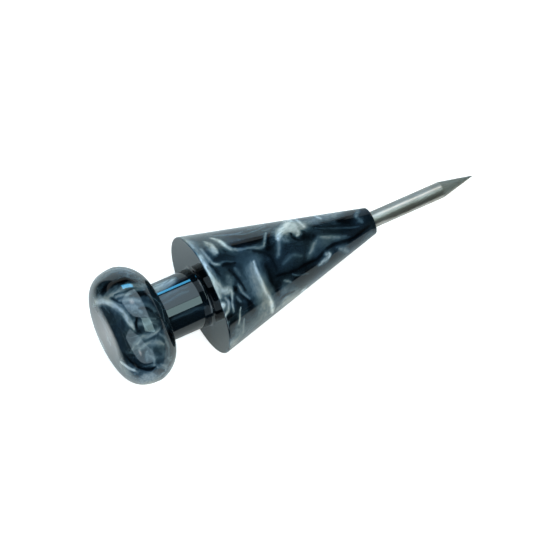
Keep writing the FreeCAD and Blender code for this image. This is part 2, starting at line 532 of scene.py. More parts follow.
def ground_steel():
    """Satin round bar with a slight sheen and faint lines along it, and a duller ground point."""
    material, tree, shader = new_material("ground_steel")
    places = awl_coordinates(tree)
    point = on_point(tree, places)
    stretch = new_node(tree, "ShaderNodeMapping", {"Vector": places, "Scale": (0.05, 1.0, 1.0)})
    lines = noise_texture(tree, stretch.outputs["Vector"], scale=3200, detail=4)
    tone = ramp(tree, lines, [
        (0.3, (0.38, 0.345, 0.305)), (0.55, (0.45, 0.41, 0.365)), (0.75, (0.50, 0.455, 0.405)),
    ])
    blotches = noise_texture(tree, places, scale=260, detail=3)
    stain = ramp(tree, blotches, [(0.35, (0.86, 0.84, 0.80)), (0.6, WHITE)])
    stained = mixed(tree, "MULTIPLY", tone, stain)
    duller = ramp(tree, point, [(0.0, WHITE), (1.0, (0.80, 0.83, 0.82))])
    satin = spread_to(tree, point, 0.33, 0.60)
    uneven = spread_to(tree, lines, -0.03, 0.05)
    bump = new_node(tree, "ShaderNodeBump", {"Strength": 0.10, "Distance": 0.01 * MM, "Height": lines})
    fill_inputs(tree, shader, {
        "Base Color": mixed(tree, "MULTIPLY", stained, duller),
        "Metallic": 1.0,
        "Roughness": worked_out(tree, "ADD", satin, uneven),
        "Coat Weight": spread_to(tree, point, 0.5, 0.0),
        "Coat Roughness": 0.10,
        "Coat IOR": 2.0,
        "Normal": bump.outputs["Normal"],
    })
    return material


def epoxy():
    """Cured clear glue, slightly yellow and cloudy. It is hidden in the joints."""
    material, tree, shader = new_material("epoxy")
    cloud = noise_texture(tree, awl_coordinates(tree), scale=600, detail=4)
    tone = ramp(tree, cloud, [(0.3, (0.55, 0.44, 0.22)), (0.7, (0.80, 0.72, 0.50))])
    fill_inputs(tree, shader, {"Base Color": tone, "Roughness": 0.25})
    return material


# ---- Strokes: (lightness, strength, reach or its left and right reach, path) ----

# On the cone a path's points are (millimetres from the back face, degrees round), on a cone this long
CONE_PATTERN_LENGTH = 53.5

# Painted shade: the cone's back face, which faces the knob across the neck, is darkened by giving it much
# less pearl, from this many millimetres in from its rim
BACK_FACE_PAINTED_SHADE = 0.75
BACK_FACE_FADE = 1.5

CONE_STROKES = [
    # broad tones, under the rest
    (0.26, 0.8, 3.5, [(2, 72), (7, 66), (12, 76)]),
    (0.13, 0.85, 4, [(13, 52), (20, 56)]),
    (0.3, 0.7, 3, [(16, 76), (26, 74)]),
    (0.32, 0.8, 3, [(4, -62), (10, -60)]),
    (0.44, 0.8, 2.6, [(12.6, -40), (13.4, -66)]),
    (0.4, 0.75, 1.6, [(3.6, -46), (3.2, -62)]),
    (0.42, 0.7, 2, [(20.4, -60), (21.6, -74)]),
    (0.22, 0.75, 3, [(19, -50), (24, -56)]),
    (0.34, 0.7, 4, [(24, -68), (40, -66), (50, -62)]),
    (0.08, 0.92, 3.8, [(24, 4), (34, 22), (44, 18), (52, 10)]),
    (0.62, 0.85, 2.2, [(26.5, 44), (29.5, 42), (32.5, 48)]),
    (0.42, 0.8, 2, [(35, 52), (38, 54)]),
    (0.12, 0.85, 2.6, [(21, -6), (28, -6)]),
    (0.07, 0.88, 3, [(44, -2), (50, -10)]),
    (0.08, 0.88, 3, [(23, -32), (30, -36), (46, -36)]),
    (0.06, 0.85, 2.5, [(25, -46), (33, -46)]),
    (0.3, 0.8, 1.3, [(19.6, -34), (20.2, -44)]),
    (0.05, 0.9, 2, [(18, 0), (18, -14), (18.4, -28)]),
    (0.14, 0.85, 1.6, [(4.6, 16), (4.6, 8)]),
    (0.34, 0.8, 1.2, [(5, 4), (5.2, -3)]),
    (0.32, 0.8, 0.7, [(8, 10), (8.4, 2)]),
    (0.17, 0.85, 2.4, [(8.6, 26), (11, 18), (14.5, 14)]),
    # the light rim
    (0.48, 0.85, (1.3, 1.4), [(0.6, 70), (0.9, 52), (0.9, 34)]),
    (0.66, 0.8, 0.5, [(0.5, 62), (0.7, 46)]),
    (0.84, 0.95, (1, 1.1), [(0.8, 34), (0.7, 20), (0.5, 6), (0.4, -8)]),
    (0.66, 0.88, (0.9, 0.8), [(1.4, 6), (2, -4), (3.2, -8)]),
    (0.66, 0.88, (0.7, 0.8), [(2.4, -4), (4, -6), (4.7, -10)]),
    (0.3, 0.7, 0.3, [(1.1, 22), (1.4, 10), (2, 4)]),
    (0.68, 0.88, (0.5, 0.6), [(2.3, 42), (2.8, 31), (3.2, 23), (4.4, 20.5)]),
    (0.12, 0.9, (0.45, 0.5), [(3.3, 46), (3.5, 34), (3.8, 25)]),
    (0.07, 0.9, 0.55, [(2.3, 24), (2.8, 18), (3.1, 10)]),
    # light patches above the dark hollow
    (0.66, 0.92, (0.9, 1.1), [(5.1, 52), (5.2, 44), (5.4, 34)]),
    (0.84, 0.8, 0.4, [(5.8, 46), (5.9, 34)]),
    (0.09, 0.9, 1.3, [(4.4, 26.5), (7.5, 27.5), (9.5, 24)]),
    (0.2, 0.85, 0.5, [(7.2, 44), (7.2, 33)]),
    (0.32, 0.75, 0.3, [(4.4, 21), (6.2, 21.5), (8.4, 18)]),
    (0.03, 0.92, 0.5, [(5.2, 17.5), (6.4, 18), (8.6, 16)]),
    (0.8, 0.92, (0.38, 0.8), [(7.6, 58), (8.3, 53), (9, 46), (9.5, 40), (10.1, 34)]),
    (0.94, 0.9, (0.4, 0.5), [(8.5, 49), (9, 43), (9.4, 37)]),
    (0.62, 0.88, (0.5, 0.7), [(9.8, 37), (11, 33), (12.6, 30.5)]),
    (0.46, 0.85, (0.35, 0.5), [(11, 32), (13, 30), (15, 28), (17, 27.5)]),
    (0.02, 0.98, (1, 1.3), [(11.4, 37.5), (14, 35.5), (17, 35), (20.4, 37)]),
    (0.42, 0.85, 0.55, [(13.5, 27.5), (16, 26.5), (18, 24), (19.2, 24)]),
    (0.1, 0.85, 0.3, [(13.2, 27), (15.4, 25), (17.4, 21)]),
    (0.42, 0.75, (0.4, 0.5), [(7, 66), (10, 60), (14, 57), (16.6, 60)]),
    (0.02, 0.85, 0.7, [(12.6, 52), (15, 49), (18, 51)]),
    (0.4, 0.75, 0.35, [(14.4, 54), (17.6, 52.5), (20.6, 56), (23.4, 64)]),
    (0.44, 0.75, 0.35, [(18.4, 62), (21.6, 66), (24, 72)]),
    (0.36, 0.7, 0.4, [(21.8, 51), (24.4, 54)]),
    (0.02, 0.8, 0.45, [(8.6, 64), (12, 66)]),
    (0.58, 0.88, 0.32, [(19.2, 25), (20, 30), (20.6, 35), (21.3, 40), (22.2, 46)]),
    (0.03, 0.97, 0.5, [(22.8, 44), (21.8, 37), (21, 30), (20.5, 24), (19.6, 17.5)]),
    (0.02, 0.96, 0.8, [(19.4, 19), (20.4, 20)]),
    (0.04, 0.92, 0.5, [(15.5, 23), (17.4, 18), (19, 12), (19.6, 5), (19.5, -3), (19.2, -12)]),
    # the tall ridge, its glow and the dark behind it
    (0.42, 0.85, (2.4, 2.2), [(12, 4), (11.9, -8), (12.2, -28)]),
    (0.3, 0.6, 1.4, [(14.4, 14), (15.6, 10)]),
    (0.56, 0.85, (0.3, 1.6), [(13.6, 7), (13.3, -6), (13.5, -20), (14, -32), (14.6, -44)]),
    (0.4, 0.7, 0.25, [(12.8, 4), (12.5, -10), (12.8, -26)]),
    (0.25, 0.85, (0.6, 0.5), [(15.3, 9), (15.1, -6), (15.4, -20), (16.2, -34)]),
    (0.03, 0.92, (0.8, 0.5), [(16.9, 0), (16.8, -14), (17.2, -28), (17.8, -42)]),
    (0.84, 0.92, (0.55, 0.45), [(14.1, 10), (13.75, -4), (14, -18), (14.4, -28), (15.3, -48)]),
    (0.88, 0.9, 0.7, [(15, -44), (15.4, -54), (15.6, -66)]),
    (0.62, 0.8, 1.8, [(17.6, -66), (21, -66), (25, -74)]),
    (0.62, 0.8, 1.5, [(0.6, -60), (1.8, -72)]),
    (0.4, 0.75, 1.2, [(22, -52), (24, -60)]),
    # fine lines left of the glow
    (0.24, 0.85, 0.7, [(8.8, 0), (9.2, -16)]),
    (0.03, 0.94, 0.32, [(6, 11), (6.8, 5), (7.4, -1), (8, -8), (8.4, -15)]),
    (0.52, 0.85, 0.28, [(6.9, -6), (7.4, -14), (8, -19), (8.8, -25)]),
    (0.03, 0.92, 0.38, [(6.9, -15), (7.6, -22), (8.6, -28), (9.4, -34)]),
    (0.03, 0.92, 1.1, [(8.3, -30), (8.8, -40)]),
    (0.02, 0.96, 0.75, [(5.7, -6), (5.9, -10)]),
    (0.06, 0.85, 0.6, [(5.2, -24), (5, -31)]),
    (0.44, 0.85, 0.28, [(5.6, -15), (6.1, -22)]),
    (0.68, 0.92, (0.3, 0.34), [(4.6, -8), (4.1, -14), (3.5, -20), (3, -28)]),
    (0.03, 0.92, 0.34, [(3.2, -12), (3.4, -16.5)]),
    # the eddy at the rim
    (0.74, 0.92, (0.45, 0.5), [(1.9, -11), (2.3, -17), (1.8, -22), (0.8, -25.5), (0, -28)]),
    (0.03, 0.97, 1.35, [(0.2, -16)]),
    (0.86, 0.97, 0.95, [(0.2, -16.5)]),
    (0.03, 0.96, 0.8, [(0, -31.5), (1.7, -30.5)]),
    (0.32, 0.8, 0.5, [(0.3, -35.5)]),
    (0.03, 0.92, 0.75, [(1.2, -38), (3, -40)]),
    (0.03, 0.9, 0.5, [(0.2, -46)]),
    (0.7, 0.92, (0.22, 0.34), [(5.4, -28), (4.8, -33), (4.3, -38), (3.5, -44)]),
    (0.5, 0.8, 0.36, [(5.4, -42), (5.1, -50), (4.8, -60)]),
    # the big bright diagonal and the comma
    (0.28, 0.85, (0.8, 0.7), [(21.4, 4), (22.4, 11), (23.4, 20), (24.6, 29)]),
    (0.38, 0.8, 0.9, [(25.6, 26), (26.4, 22)]),
    (0.44, 0.75, 0.36, [(22, 6), (22.8, 14), (23.8, 24), (24.6, 32)]),
    (0.9, 0.95, (0.8, 1.1), [(24.2, 30), (25.4, 37), (26.8, 44), (28.3, 51), (29.6, 58)]),
    (0.94, 0.85, 1.6, [(29, 55), (30.4, 64), (31.8, 82)]),
    (0.78, 0.85, 1.2, [(29.2, 38), (30.2, 46), (31.2, 54)]),
    (0.6, 0.8, (1, 1.2), [(32.4, 38), (33.6, 46)]),
    (0.88, 0.85, 0.5, [(33.2, 80), (33.2, 58), (33.3, 40)]),
    (0.02, 0.97, 0.75, [(28.7, 32), (28.6, 26), (29.4, 21.5), (30.8, 20.5), (31.8, 23.5), (32, 30)]),
    (0.7, 0.94, 0.5, [(30.8, 42), (30.7, 34), (30.4, 29), (29.8, 26)]),
    (0.3, 0.65, 0.6, [(22, -6), (25.4, 0), (28.2, -6)]),
    # the arch and the black ribbon under it
    (0.27, 0.85, (0.8, 1.5), [(30.2, -11), (31.4, -5), (32.6, 1), (33.8, 6), (35.2, 9.5)]),
    (0.25, 0.85, (0.6, 1.5), [(35.2, 9.5), (36.8, 6), (38.4, 2), (40, -2), (41.6, -6), (43.6, -12)]),
    (0.26, 0.7, 1.6, [(34.4, 0), (36.4, -5)]),
    (0.48, 0.75, (0.42, 0.55), [(30.8, -8), (32, -3), (33, 3), (34, 7)]),
    (0.46, 0.75, (0.4, 0.6), [(35.8, 8), (37.6, 4), (39.4, -0.5), (41.4, -6)]),
    (0.04, 0.85, 1.5, [(36.4, 32), (39.4, 25), (43, 15), (45.6, 5)]),
    (0.04, 0.85, 1.2, [(31.2, 19), (33.8, 17)]),
    (0.04, 0.85, 1.6, [(24.4, -33), (27.4, -36), (31, -35)]),
    (0.02, 0.97, (0.6, 0.65), [(19, -17), (23, -20), (28, -23), (32.6, -23), (34.4, -19), (36.6, -15)]),
    (0.02, 0.96, (0.55, 0.6), [(36.2, -15), (39, -16), (42, -20), (45, -24), (48, -22), (51, -18)]),
    (0.3, 0.8, 0.24, [(23.4, -24), (25.2, -30), (28.8, -41)]),
    (0.46, 0.85, 0.34, [(20.4, -27), (22.4, -34)]),
    (0.03, 0.85, 0.6, [(24.2, -32), (26, -37), (28, -42)]),
    (0.6, 0.9, (0.75, 0.7), [(35.3, -23), (35.9, -28), (35, -33), (33, -36)]),
    (0.84, 0.8, 0.3, [(36.3, -24), (36.6, -29), (35.8, -34)]),
    (0.02, 0.9, 0.7, [(38.2, -37), (36.4, -41)]),
    (0.44, 0.8, 0.8, [(40, -30), (41.2, -38), (42.8, -54)]),
    (0.3, 0.7, 0.3, [(39.2, -24), (41.4, -30), (43.4, -34)]),
    # towards the nose
    (0.56, 0.8, 2.2, [(40.2, 78), (41.4, 66), (45, 68)]),
    (0.8, 0.85, 0.45, [(38.5, 74), (39.2, 54)]),
    (0.02, 0.97, 1.3, [(43.6, 34), (45.4, 28.5), (47.4, 34)]),
    (0.46, 0.8, 0.5, [(48.6, 28), (49.7, 44), (50.9, 70)]),
    (0.34, 0.75, 0.8, [(49, 20), (49.4, 6)]),
    (0.24, 0.6, 0.3, [(36, 30), (42, 16), (48, -4)]),
    (0.07, 0.85, 1.4, [(52.4, 30), (52.4, -30)]),
    (0.52, 0.85, (0.7, 0.9), [(19.2, -58), (20.2, -54), (21.6, -64)]),
    (0.06, 0.8, 0.5, [(18.2, -50), (20.4, -49), (23, -54)]),
    # painted highlight: this bright stroke near the cone's lower outline
    (0.9, 0.85, 0.9, [(26.3, -70), (28, -84)]),
]

# On the knob a path's points are (millimetres over the surface from the end's middle, degrees round)
KNOB_STROKES = [
    (0.13, 0.9, 4, [(10, 40), (11.6, 10), (11, -28)]),
    (0.17, 0.8, 3, [(21, 30), (23, 5)]),
    (0.08, 0.85, 3, [(28, 35), (28, 0), (28, -24)]),
    (0.36, 0.75, 2.2, [(20.6, -30), (23.4, -40)]),
    (0.52, 0.78, 3.2, [(18, -64), (19, -84)]),
    (0.46, 0.75, 2.4, [(9, -86), (12, -72)]),
    (0.26, 0.8, 1.6, [(15.4, 42), (16.6, 33)]),
    (0.36, 0.8, 2, [(15.5, 84), (19, 72), (23, 64)]),
    # the bright diagonal
    (0.5, 0.85, (1.5, 0.7), [(9.4, 92), (10.2, 78), (11.2, 64), (12.8, 50), (14.2, 38), (15.4, 27)]),
    (0.84, 0.95, (1.05, 0.65), [(10.6, 72), (11.4, 60), (12.8, 49), (14, 39), (15.2, 28)]),
    (0.66, 0.9, (0.9, 0.6), [(14.6, 33), (15.8, 24), (16.7, 14), (17, 5), (17.8, -4)]),
    (0.04, 0.92, 0.45, [(15.9, 42), (16.6, 34), (17.6, 25)]),
    # slanted streaks beside it
    (0.56, 0.85, (0.6, 0.8), [(15.8, 42), (18, 38.5), (20.6, 38), (23, 37)]),
    (0.46, 0.75, 0.9, [(22.6, 36), (25, 33), (26.6, 34)]),
    (0.07, 0.88, 0.3, [(17.4, 37.5), (20.4, 33.5), (23.6, 31)]),
    (0.54, 0.82, (0.7, 0.5), [(17.4, 34), (19.6, 31), (22.8, 25)]),
    (0.48, 0.75, (0.7, 0.6), [(17.6, 28), (20.6, 23), (22.6, 18)]),
    (0.46, 0.75, 0.6, [(18.4, 20), (20.8, 15), (21.6, 8)]),
    (0.34, 0.6, (0.6, 0.45), [(22.4, 15), (24.2, 12), (25.6, 4)]),
    (0.04, 0.92, 0.45, [(22.2, 24), (23.6, 22.5), (25.8, 22)]),
    (0.42, 0.75, (0.6, 0.4), [(23, 30), (25.6, 28)]),
    (0.02, 0.85, 0.7, [(21, 27), (23.4, 25), (25.6, 22)]),
    (0.04, 0.92, 0.5, [(21.6, 12), (23.6, 9), (24.6, 5)]),
    (0.36, 0.75, 0.28, [(22.2, 4), (23.2, 0), (24.8, -3)]),
    (0.03, 0.94, 0.55, [(19.6, 4), (18.7, -2), (18.8, -9), (20.2, -12), (22.4, -10)]),
    # wavy lines and patches below
    (0.5, 0.8, (0.9, 0.45), [(16.8, -19), (18.8, -15.5), (21, -17), (24.6, -14)]),
    (0.1, 0.85, 0.3, [(19, -19.5), (22, -18.5), (24.8, -18)]),
    (0.48, 0.8, (0.6, 0.8), [(17.4, -24), (20, -22), (22.6, -24.5), (24.4, -30)]),
    (0.42, 0.75, 0.5, [(24, -18), (25.6, -26), (26, -36)]),
    (0.4, 0.75, 0.6, [(19, -30), (18.6, -40)]),
    (0.44, 0.8, 0.35, [(19.4, -34), (20.6, -40), (20.2, -48)]),
    (0.12, 0.85, 1.2, [(21.6, -31), (22.6, -38)]),
    (0.48, 0.75, 0.5, [(22.4, -50), (24, -58), (22, -68)]),
    (0.42, 0.75, 0.4, [(24.6, -46), (26.2, -56)]),
    (0.1, 0.85, 0.6, [(21.6, -56), (23, -62)]),
    (0.86, 0.95, 0.8, [(8.4, -72), (10, -65), (11.8, -61), (14.2, -56)]),
    (0.02, 0.96, 0.65, [(11.3, -34), (12.5, -40), (14.2, -45), (16.4, -50), (18.6, -52.5), (20.6, -51)]),
    (0.3, 0.75, 0.28, [(26.2, 22), (28.6, 8), (27.8, -10)]),
    (0.01, 0.96, 1.3, [(15, 54), (18.2, 50.5), (21.2, 47), (24, 42)]),
    (0.36, 0.75, 0.3, [(25, -22), (25.8, -34), (25, -48)]),
    (0.02, 0.94, 1.3, [(27.4, -22), (28.6, -32), (28.4, -42)]),
    (0.56, 0.85, 0.5, [(26.4, 56), (23.8, 68), (19.6, 80)]),
    (0.08, 0.85, 0.6, [(15.4, 66), (18, 62), (21.6, 62)]),
]

# On the neck a path's points are (millimetres from the cone's back face, degrees round)
NECK_STROKES = [
    (0.05, 0.9, 9, [(-12, 60), (-12, 0), (-12, -60)]),
    (0.05, 0.9, 9, [(-4, 60), (-4, 0), (-4, -60)]),
    (0.74, 0.85, (1.8, 1.5), [(-14.5, 54), (-10, 58), (-6.8, 60)]),
    (0.62, 0.8, (0.9, 1), [(-14, 46), (-9.5, 49), (-7, 51)]),
    (0.3, 0.6, 0.5, [(-13.8, 24), (-9, 27), (-4.6, 24)]),
    (0.26, 0.6, 0.4, [(-13, 14), (-8, 17), (-4.8, 15)]),
    (0.22, 0.6, 0.6, [(-12, -22), (-6, -20), (-2, -24)]),
]


# ---- The visible pieces ----

def round_of(start, corner, end, fullness):
    return finely(full_round(start, corner, end, fullness))


def knob_outline():
    end_round = round_of(
        (KNOB_END, KNOB_END_FLAT_RADIUS), (KNOB_END, KNOB_RADIUS), (KNOB_WIDEST, KNOB_RADIUS),
        KNOB_END_FULLNESS,
    )
    shoulder_round = round_of(
        (KNOB_WIDEST, KNOB_RADIUS), (KNOB_SHOULDER, KNOB_RADIUS),
        (KNOB_SHOULDER, KNOB_SHOULDER_FLAT_RADIUS), KNOB_SHOULDER_FULLNESS,
    )
    socket = TENON_RADIUS + GLUE_WALL
    bottom = KNOB_SHOULDER - KNOB_TENON_LENGTH - GLUE_BOTTOM
    face = finely([(KNOB_END, 0), (KNOB_END, KNOB_END_FLAT_RADIUS)])
    shoulder = finely([(KNOB_SHOULDER, KNOB_SHOULDER_FLAT_RADIUS), (KNOB_SHOULDER, socket)], SHOULDER_STEP)
    return face + end_round[1:] + shoulder_round[1:] + shoulder[1:] + [(bottom, socket), (bottom, 0)]


def neck_outline():
    cove = arc_round(
        (KNOB_SHOULDER, NECK_RADIUS), (0, NECK_RADIUS), (0, CONE_BACK_RADIUS), NECK_COVE_RADIUS,
    )
    start = KNOB_SHOULDER - KNOB_TENON_LENGTH
    end = CONE_TENON_LENGTH
    barrel = finely([(KNOB_SHOULDER, NECK_RADIUS), cove[0]], FACE_STEP)
    return [
        (start, 0),
        (start, TENON_RADIUS - TENON_CHAMFER),
        (start + TENON_CHAMFER, TENON_RADIUS),
        (KNOB_SHOULDER, TENON_RADIUS),
    ] + barrel + cove[1:] + [
        (0, TENON_RADIUS),
        (end - TENON_CHAMFER, TENON_RADIUS),
        (end, TENON_RADIUS - TENON_CHAMFER),
        (end, 0),
    ]


def cone_outline():
    socket = TENON_RADIUS + GLUE_WALL
    socket_end = CONE_TENON_LENGTH + GLUE_BOTTOM
    hole = TANG_RADIUS + GLUE_WALL
    hole_end = CONE_NOSE - TANG_LENGTH - GLUE_BOTTOM
    back_rim = (0, CONE_BACK_RADIUS)
    nose_rim = (CONE_NOSE, CONE_NOSE_RADIUS)
    back_edge = arc_round((0, 0), back_rim, nose_rim, CONE_EDGE_RADIUS)
    nose_edge = arc_round(back_rim, nose_rim, (CONE_NOSE, 0), CONE_EDGE_RADIUS)
    back_face = finely([(0, socket), back_edge[0]], FACE_STEP)
    flank = finely([back_edge[-1], nose_edge[0]], CONE_STEP)
    outside = back_face + back_edge[1:] + flank[1:] + nose_edge[1:]
    inside = [(CONE_NOSE, hole), (hole_end, hole), (hole_end, 0)]
    return [(socket_end, 0), (socket_end, socket)] + outside + inside


def pin_outline():
    start = CONE_NOSE - TANG_LENGTH
    points = [(start, 0), (start, TANG_RADIUS - TANG_CHAMFER), (start + TANG_CHAMFER, TANG_RADIUS)]
    pitch = TANG_LENGTH / (TANG_GROOVE_COUNT + 1)
    for number in range(TANG_GROOVE_COUNT):
        middle = start + pitch * (number + 1)
        groove_radius = TANG_RADIUS - TANG_GROOVE_DEPTH
        points.append((middle - TANG_GROOVE_WIDTH / 2, TANG_RADIUS))
        points.append((middle - TANG_GROOVE_WIDTH / 2, groove_radius))
        points.append((middle + TANG_GROOVE_WIDTH / 2, groove_radius))
        points.append((middle + TANG_GROOVE_WIDTH / 2, TANG_RADIUS))
    tip_start = (TIP - PIN_TIP_RADIUS, PIN_TIP_RADIUS)
    tip = arc_round(tip_start, (TIP, PIN_TIP_RADIUS), (TIP, 0), PIN_TIP_RADIUS)
    shank = finely([(CONE_NOSE, PIN_RADIUS), (SHANK_END, PIN_RADIUS)])
    point = finely([(SHANK_END, PIN_RADIUS), tip[0]])
    return points + [(CONE_NOSE, TANG_RADIUS)] + shank + point[1:] + tip[1:]


def distance_over(outline):
    """How far each of the outline's points is from its first, along it."""
    steps = np.hypot(*np.diff(np.array(outline), axis=0).T)
    return np.concatenate([[0], np.cumsum(steps)])


def round_the_rings(values, segments):
    """One value for each vertex of a turned mesh, from one value for each of its outline's points."""
    return np.concatenate([np.repeat(values[1:-1], segments), values[:1], values[-1:]])


def knob():
    outline = knob_outline()
    piece, local = turned_mesh("marbled_knob", outline)
    along = round_the_rings(distance_over(outline), SEGMENTS)
    give_pearl(piece, marble(local, along, KNOB_STROKES, seed=300, mottle=0.30))
    return piece


def neck():
    piece, local = turned_mesh("dark_neck", neck_outline())
    give_pearl(piece, marble(local, local[:, 0], NECK_STROKES, seed=500, mottle=0.03))
    return piece


def cone_body():
    piece, local = turned_mesh("marbled_cone", cone_outline())
    radius = np.hypot(local[:, 1], local[:, 2])
    in_from_rim = np.where(local[:, 0] < CONE_EDGE_RADIUS / 2, CONE_BACK_RADIUS - radius, 0)
    along = local[:, 0] * CONE_PATTERN_LENGTH / CONE_LENGTH - in_from_rim
    # Painted shade: the back face is darkened by cutting its pearl
    painted_shade_factor = 1 - BACK_FACE_PAINTED_SHADE * np.clip(in_from_rim / BACK_FACE_FADE, 0, 1)
    give_pearl(piece, marble(local, along, CONE_STROKES, seed=100, mottle=0.12) * painted_shade_factor)
    return piece


def steel_pin():
    return turned_mesh("ground_pin", pin_outline(), PIN_SEGMENTS)[0]


def put_in(piece, node, material):
    piece.data.materials.append(material)
    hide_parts(node)
    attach(piece, "root")


marbled = polished_resin("marbled_resin", colour_roughness=0.45)
put_in(knob(), "knob", marbled)
put_in(cone_body(), "cone_body", marbled)
put_in(neck(), "neck", polished_resin("dark_resin", colour_roughness=0.4, dusty=True))
put_in(steel_pin(), "steel_pin", ground_steel())

glue = epoxy()
for node in ("knob_epoxy", "cone_epoxy", "pin_epoxy"):
    for slot in frame["nodes"][node].material_slots:
        slot.material = glue


# ---- Camera: almost straight down on the awl, a little from its knob end and its -Y side ----

CAMERA_AZIMUTH = -116.09
CAMERA_ELEVATION = 79.72
CAMERA_DISTANCE = 1.6
CAMERA_REACH = 20
FRAME_WIDTH = 157.0 * MM
SENSOR_WIDTH = 36.0
AIM = Vector((-5.51, -5.97, 18.39)) * MM


def sky_direction(azimuth, elevation):
    a = math.radians(azimuth)
    e = math.radians(elevation)
    return Vector((math.cos(e) * math.cos(a), math.cos(e) * math.sin(a), math.sin(e)))


to_camera = sky_direction(CAMERA_AZIMUTH, CAMERA_ELEVATION)
picture_right = Vector((0, 0, 1)).cross(to_camera).normalized()
picture_up = to_camera.cross(picture_right)


def make_camera():
    camera = bpy.data.cameras.new("camera")
    camera.sensor_width = SENSOR_WIDTH
    camera.lens = SENSOR_WIDTH * CAMERA_DISTANCE / FRAME_WIDTH
    camera.clip_end = CAMERA_REACH
    holder = new_object("camera", camera)
    holder.location = AIM + to_camera * CAMERA_DISTANCE
    holder.rotation_euler = Matrix((picture_right, picture_up, to_camera)).transposed().to_euler()
    bpy.context.scene.camera = holder


make_camera()


# ---- Stage: materials of the floor, the cards and the lights ----

def make_matte(tree, shader, colour):
    fill_inputs(tree, shader, {"Base Color": (*colour, 1), "Roughness": 0.9, "Specular IOR Level": 0.0})
    return shader.outputs["BSDF"]


def glow_of(tree, colour, strength):
    inputs = {"Color": (*colour, 1), "Strength": strength}
    return new_node(tree, "ShaderNodeEmission", inputs).outputs["Emission"]


def clear(tree):
    return new_node(tree, "ShaderNodeBsdfTransparent", {}).outputs["BSDF"]


def gradient(tree, kind):
    """A linear or spherical gradient over a face, in the face's own units."""
    inputs = {"Vector": object_coordinates(tree)}
    return new_node(tree, "ShaderNodeTexGradient", inputs, gradient_type=kind).outputs["Fac"]


def added_shaders(tree, first, second):
    return new_node(tree, "ShaderNodeAddShader", {0: first, 1: second}).outputs["Shader"]


def mixed_shaders(tree, share, first, second):
    """The first shader where the share is 0 and the second where it is 1."""
    return new_node(tree, "ShaderNodeMixShader", {0: share, 1: first, 2: second}).outputs["Shader"]


def is_camera_ray(tree):
    return new_node(tree, "ShaderNodeLightPath", {}).outputs["Is Camera Ray"]


def set_surface(tree, shader):
    fill_inputs(tree, tree.nodes["Material Output"], {"Surface": shader})


def glowing_material(name, colour, glow):
    """The face of a light."""
    material, tree, _ = new_material(name)
    set_surface(tree, glow_of(tree, colour, glow))
    return material


def soft_glow_material(name, colour, glow):
    """A light that is brightest in its middle and fades to nothing one unit of its own away."""
    material, tree, _ = new_material(name)
    strength = worked_out(tree, "MULTIPLY", gradient(tree, "SPHERICAL"), glow)
    set_surface(tree, added_shaders(tree, glow_of(tree, colour, strength), clear(tree)))
    return material


def dark_card_material(name):
    """Nearly black, and clear at the near edge of the card."""
    material, tree, shader = new_material(name)
    dark = make_matte(tree, shader, (0.01, 0.01, 0.012))
    set_surface(tree, mixed_shaders(tree, gradient(tree, "LINEAR"), clear(tree), dark))
    return material


def floor_material():
    """White paper. To the camera it glows a little too, as a light table does, so shadows stay pale."""
    material, tree, shader = new_material("floor")
    paper = make_matte(tree, shader, (0.82, 0.75, 0.69))
    lit = added_shaders(tree, paper, glow_of(tree, WHITE, 0.7))
    set_surface(tree, mixed_shaders(tree, is_camera_ray(tree), paper, lit))
    return material


# ---- Stage: faces. What is glossy_only shows in reflections and nowhere else ----

FLOOR_REACH = 2.0
CARD_LIFT = 0.5 * MM


def stage_face(name, corners, material, hidden=False, glossy_only=False):
    """A flat or fan-shaped face of the studio through the given corners."""
    mesh = bpy.data.meshes.new(name)
    mesh.from_pydata([tuple(c) for c in corners], [], [tuple(range(len(corners)))])
    mesh.materials.append(material)
    face = new_object(name, mesh)
    if hidden or glossy_only:
        face.visible_camera = False
        face.visible_shadow = False
    if glossy_only:
        face.visible_diffuse = False
        face.visible_transmission = False
    return face


def lay_floor():
    r = FLOOR_REACH
    stage_face("floor", [(-r, -r, 0), (r, -r, 0), (r, r, 0), (-r, r, 0)], floor_material())


def soft_glow(name, centre, across, along, colour, glow):
    """A round soft light. across and along are its two radii as vectors."""
    square = [(-1, -1, 0), (1, -1, 0), (1, 1, 0), (-1, 1, 0)]
    face = stage_face(name, square, soft_glow_material(name, colour, glow), glossy_only=True)
    normal = across.cross(along).normalized() * across.length
    face.matrix_world = Matrix.Translation(centre) @ Matrix((across, along, normal)).transposed().to_4x4()


def dark_card(name, along, across, near, fade, far, half_width):
    """A dark card flat on the floor. It runs out along one direction, and its near edge fades in."""
    reach = (far - near) / fade
    corners = [(0, -half_width, 0), (0, half_width, 0), (reach, half_width, 0), (reach, -half_width, 0)]
    card = stage_face(name, corners, dark_card_material(name), glossy_only=True)
    axes = Matrix((along * fade, across, Vector((0, 0, 1)))).transposed()
    card.matrix_world = Matrix.Translation(along * near + Vector((0, 0, CARD_LIFT))) @ axes.to_4x4()


def upright_card(name, start, end, side, height, colour, glow):
    """A softly lit card that stands on the floor, along X at the given Y."""
    corners = [(start, side, 0), (end, side, 0), (end, side, height), (start, side, height)]
    stage_face(name, corners, glowing_material(name, colour, glow), glossy_only=True)


PIN_LAMP_TURN = math.radians(34)
PIN_LAMP_DISTANCE = 8.5 * MM
PIN_LAMP_SHIFT = 4.5 * MM
PIN_LAMP_HALF_LENGTH = 11.5 * MM
PIN_LAMP_HALF_WIDTH = 0.35 * MM


